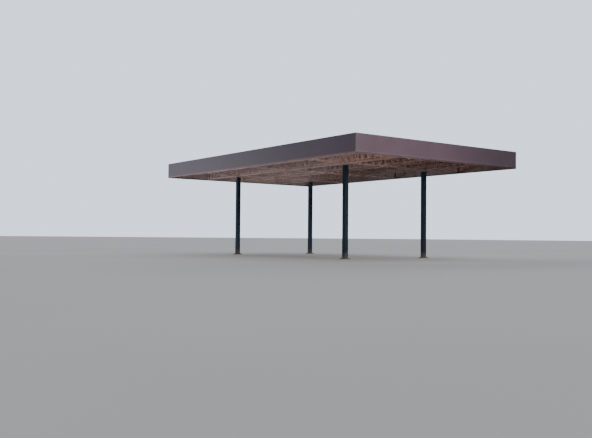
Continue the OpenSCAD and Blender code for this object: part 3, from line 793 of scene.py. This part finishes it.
def angle_bar(xa, xb, y, z, leg=0.050, t=0.005):
    """Angle bar along X with one leg flat under z and the other hanging at its front edge."""
    h = leg / 2
    outline = [(-h, -0.0004), (h, -0.0004), (h, -t), (-h + t, -t), (-h + t, -leg), (-h, -leg)]
    pts = [(x, y + a, z + b) for x in (xa, xb) for a, b in outline]
    # the two ends are cut into two plain faces each
    ties.add(pts, [(0, 1, 2, 3), (0, 3, 4, 5), (9, 8, 7, 6), (11, 10, 9, 6)]
             + [(i, (i + 1) % 6, 6 + (i + 1) % 6, 6 + i) for i in range(6)])


for y in TIE_Y:
    for xa, xb in ((-IX + 0.006, -4.504), (-4.496, 4.496), (4.504, IX - 0.006)):
        angle_bar(xa, xb, y, Z_LIGHT)
    for s in (-1, 1):
        xa, xb = sorted((s * (IX - 0.0065), s * (IX - 0.0005)))
        ties.box((xa, y - 0.030, Z_LIGHT - 0.056), (xb, y + 0.030, Z_LIGHT + 0.014))
    for x in CROSS_X:
        if x not in DEEP_X:
            for dx in ((-0.018, 0.018) if abs(x) == 4.5 else (0.0,)):
                bolts.bolt((x + dx, y + 0.004, Z_LIGHT - 0.005), (0, 0, -1), af=0.017, head=0.008, washer=0.024)
ties.make("tie_bars", STEEL_TIES, "primed_steel")
bolts.make("truss_bolts", BOLT, "bearing_primer", smooth=30)

# ---------------------------------------------------------------- roof: screws, gutter straps
screws = Mesh()
for s in (-1, 1):
    axes = roof_axes(s)
    o, u, v, w = axes
    for k, d in enumerate(PURLINS):
        for x in RIBS:
            h = 0.1222 if k else 0.1254
            p = o + u * (x + random.uniform(-0.006, 0.006)) + v * (d + random.uniform(-0.008, 0.008)) + w * h
            screws.rod(p, p + w * 0.0025, 0.010, 8)
            screws.rod(p + w * 0.0025, p + w * 0.008, 0.0062, 6)
screws.make("roof_screws", ZINC, "gutter_zinc", smooth=30)

straps = Mesh()
for s in (-1, 1):
    for k in range(-10, 11):
        x = k * 1.125 + 0.28
        if abs(x) > IX - 0.1:
            continue
        ya, yb = sorted((s * 7.046, s * 7.330))
        straps.box((x - 0.015, ya, 7.2946), (x + 0.015, yb, 7.2986))
        for y in (7.058, 7.316):
            straps.rod((x, s * y, 7.2986), (x, s * y, 7.3006), 0.006, 8, dome=0.002)
straps.make("gutter_straps", ZINC, "gutter_zinc")

# ---------------------------------------------------------------- edge band: rivets, frame gussets
FRAME_X = [k * 1.125 for k in range(-10, 11)]
FRAME_Y = [-IY + k * 2 * IY / 12 for k in range(1, 12)]
rivets = Mesh()


def rivet(x, y, z, nx, ny):
    n = Vector((nx, ny, 0))
    p = Vector((x, y, z))
    rivets.rod(p - n * 0.0004, p + n * 0.0010, 0.0065, 10, r2=0.0060, dome=0.0014)


rows = (6.470, 6.715, 6.960, 7.205, 7.435)
for s in (-1, 1):
    for x in FRAME_X:
        seam = abs((abs(x) - 1.125) % 2.25) < 0.01
        for z in rows:
            for dx in ((-0.024, 0.024) if seam else (0.0,)):
                rivet(x + dx, s * OY, z, 0, s)
    for k, y in enumerate(FRAME_Y):
        seam = k % 2 == 0
        for z in rows:
            for dy in ((-0.024, 0.024) if seam else (0.0,)):
                rivet(s * OX, y + dy, z, s, 0)
rivets.make("band_rivets", BAND, "fascia_paint", smooth=50)

gussets = Mesh()


def gusset(p, a, b, depth):
    """Triangular plate in the corner at p, with legs along a and b."""
    p, a, b, d = Vector(p), Vector(a), Vector(b), Vector(depth)
    pts = [p - d, p + a - d, p + a * 0.9 + b * 0.12 - d, p + a * 0.12 + b * 0.9 - d, p + b - d]
    pts += [q + d * 2 for q in pts]
    gussets.add(pts, [(4, 3, 2, 1, 0), (5, 6, 7, 8, 9)] + [(i, (i + 1) % 5, 5 + (i + 1) % 5, 5 + i) for i in range(5)])


ZR0, ZR1 = Z_BAND + 0.008 + 0.050, Z_CAP - 0.012 - 0.050
for s in (-1, 1):
    for x in FRAME_X:
        for t in (-1, 1):
            gusset((x + t * 0.025, s * (IY + 0.030), ZR0), (t * 0.075, 0, 0), (0, 0, 0.075), (0, 0.003, 0))
            gusset((x + t * 0.025, s * (IY + 0.030), ZR1), (t * 0.075, 0, 0), (0, 0, -0.075), (0, 0.003, 0))
    for y in FRAME_Y:
        for t in (-1, 1):
            gusset((s * (IX + 0.030), y + t * 0.025, ZR0), (0, t * 0.075, 0), (0, 0, 0.075), (0.003, 0, 0))
            gusset((s * (IX + 0.030), y + t * 0.025, ZR1), (0, t * 0.075, 0), (0, 0, -0.075), (0.003, 0, 0))
gussets.make("frame_gussets", STEEL_EDGE, "primed_steel")


# ---------------------------------------------------------------- floor, light
floor_me = bpy.data.meshes.new("floor")
floor_me.from_pydata([(-900, -900, 0), (900, -900, 0), (900, 900, 0), (-900, 900, 0)], [], [(0, 1, 2, 3)])
floor = bpy.data.objects.new("floor", floor_me)
bpy.context.scene.collection.objects.link(floor)
fm = Nodes("floor_pale")
fm.set(color=fm.mix(fm.remap(fm.noise(0.05, 3, 0.5), 0.3, 0.7), (0.56, 0.51, 0.46), (0.62, 0.57, 0.51)), rough=0.9)
floor_me.materials.append(fm.mat)

# The studio: a bright backdrop beyond the object, a dimmer room behind the viewer,
# and soft lamps at the right, at the left and low down.
world = bpy.data.worlds.new("studio")
bpy.context.scene.world = world
world.use_nodes = True
wn = world.node_tree
wn.nodes.clear()
wout = wn.nodes.new("ShaderNodeOutputWorld")
bg = wn.nodes.new("ShaderNodeBackground")
wn.links.new(bg.outputs[0], wout.inputs[0])
wco = wn.nodes.new("ShaderNodeTexCoord")
wdot = wn.nodes.new("ShaderNodeVectorMath")
wdot.operation = "DOT_PRODUCT"
wn.links.new(wco.outputs["Generated"], wdot.inputs[0])
wdot.inputs[1].default_value = (-0.806, 0.592, 0.0)
wmap = wn.nodes.new("ShaderNodeMapRange")
wmap.interpolation_type = "SMOOTHSTEP"
wn.links.new(wdot.outputs["Value"], wmap.inputs[0])
wmap.inputs[1].default_value, wmap.inputs[2].default_value = -0.2, 0.75
wmix = wn.nodes.new("ShaderNodeMix")
wmix.data_type = "RGBA"
wn.links.new(wmap.outputs[0], wmix.inputs[0])
wmix.inputs[6].default_value = (0.318, 0.303, 0.322, 1.0)
wmix.inputs[7].default_value = (1.29, 1.49, 1.74, 1.0)
wn.links.new(wmix.outputs[2], bg.inputs[0])
bg.inputs[1].default_value = 1.0


def area(name, loc, target, size, power, colour=(1, 1, 1), spread=180.0):
    d = bpy.data.lights.new(name, "AREA")
    d.shape, d.size, d.size_y = "RECTANGLE", size[0], size[1]
    d.energy, d.color, d.spread = power, colour, math.radians(spread)
    o = bpy.data.objects.new(name, d)
    bpy.context.scene.collection.objects.link(o)
    o.location = loc
    o.rotation_mode = "QUATERNION"
    o.rotation_quaternion = (Vector(target) - Vector(loc)).to_track_quat("-Z", "Y")
    o.visible_camera = False
    return o


area("soft_right", (27, -4, 9.5), (12, -2.5, 12.2), (6, 4), 1850, (1.0, 0.97, 0.95), 110)
# the low ones are narrow and tilted up, so that they leave the floor plain
area("low_right", (28, -12, 0.6), (4, -1, 7.4), (14, 1), 145, (1.0, 0.95, 0.92), 30)
area("low_left", (-6, -13, 0.4), (-6, -4, 7.0), (24, 8), 62, (1.0, 0.94, 0.92), 70)
area("front_left", (-24, -26, 0.8), (-7, -7, 8.0), (12, 1), 310, (0.96, 0.96, 1.0), 44)
